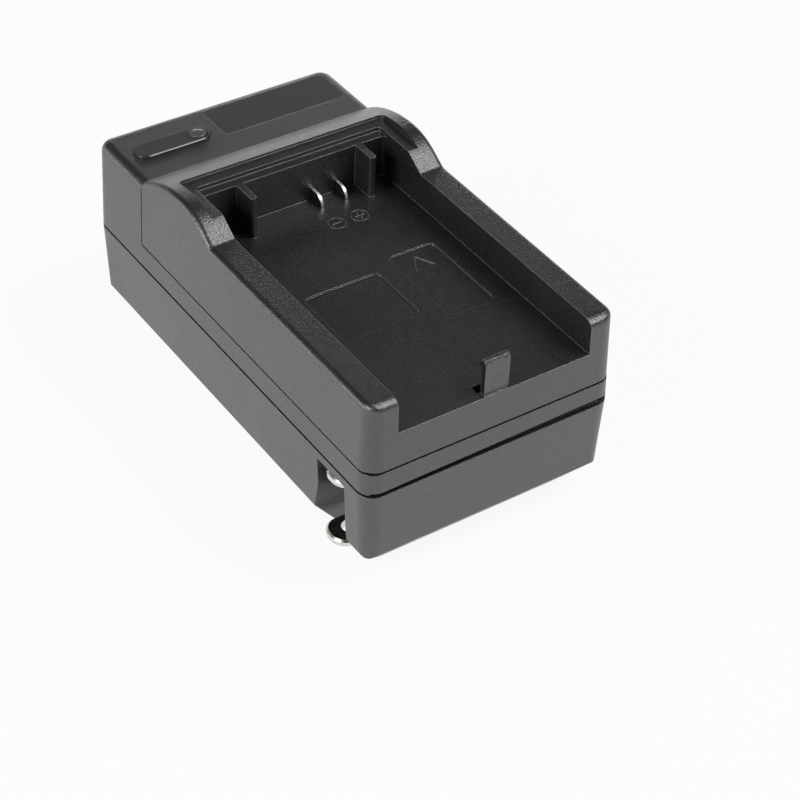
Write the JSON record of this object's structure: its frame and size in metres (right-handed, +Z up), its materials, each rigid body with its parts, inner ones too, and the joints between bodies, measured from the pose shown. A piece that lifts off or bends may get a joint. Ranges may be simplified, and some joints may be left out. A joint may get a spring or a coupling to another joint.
{
  "type": "camera battery charger",
  "caption": "Plug-in charger for a flat camera battery: drafted two-part case, open battery bay with guide posts, spring contacts and latch hook, and a folding two-blade mains plug.",
  "frame": {"origin": "centre of the bounding box's bottom face: the middle of the flat underside", "axes": "+Z up; +Y along the length, from the latch end to the end with the indicator; +X to the right, so that the plug's notch is in the -X side"},
  "size_m": [0.048, 0.0882, 0.0407],
  "materials": {
    "case_plastic": "fine spark-eroded grain",
    "plate_plastic": "fine spark-eroded grain",
    "window_plastic": "satin insert",
    "lens_plastic": "milky, polished",
    "label_film": "smooth satin film",
    "contact_metal": "gold-plated sheet",
    "blade_metal": "nickel-plated",
    "screw_steel": "zinc-plated",
    "board_laminate": "solder mask",
    "ferrite": "sintered",
    "bobbin_plastic": "moulded",
    "winding_tape": "wrapped tape",
    "capacitor_sleeve": "shrunk sleeve",
    "fuse_glass": "sleeved",
    "chip_plastic": "moulded epoxy",
    "lamp_plastic": "clear epoxy"
  },
  "bodies": {
    "housing": {"lower_shell": "case_plastic", "upper_shell": "case_plastic", "battery_plate": "plate_plastic", "charge_window": "window_plastic", "charge_lens": "lens_plastic", "top_label": "label_film", "bottom_label": "label_film", "contact_negative": "contact_metal", "contact_positive": "contact_metal", "plug_cover": "case_plastic", "plug_cover_screws": "screw_steel", "plug_spring_front": "contact_metal", "plug_spring_rear": "contact_metal", "detent_spring": "screw_steel", "circuit_board": "board_laminate", "board_screws": "screw_steel", "housing_screws": "screw_steel", "transformer_core": "ferrite", "transformer_bobbin": "bobbin_plastic", "transformer_winding": "winding_tape", "input_capacitor": "capacitor_sleeve", "output_capacitor": "capacitor_sleeve", "fuse": "fuse_glass", "bridge_rectifier": "chip_plastic", "controller_chip": "chip_plastic", "switching_transistor": "chip_plastic", "charge_lamp": "lamp_plastic"},
    "plug": {"plug_carrier": "case_plastic", "plug_blade_upper": "blade_metal", "plug_blade_lower": "blade_metal"}
  },
  "joints": [
    {"name": "plug_fold", "type": "hinge", "parent": "housing", "child": "plug", "pos_m": [0.0014, -0.03315, 0.00915], "axis": [0, -1, 0], "range_deg": [0, 90]}
  ]
}
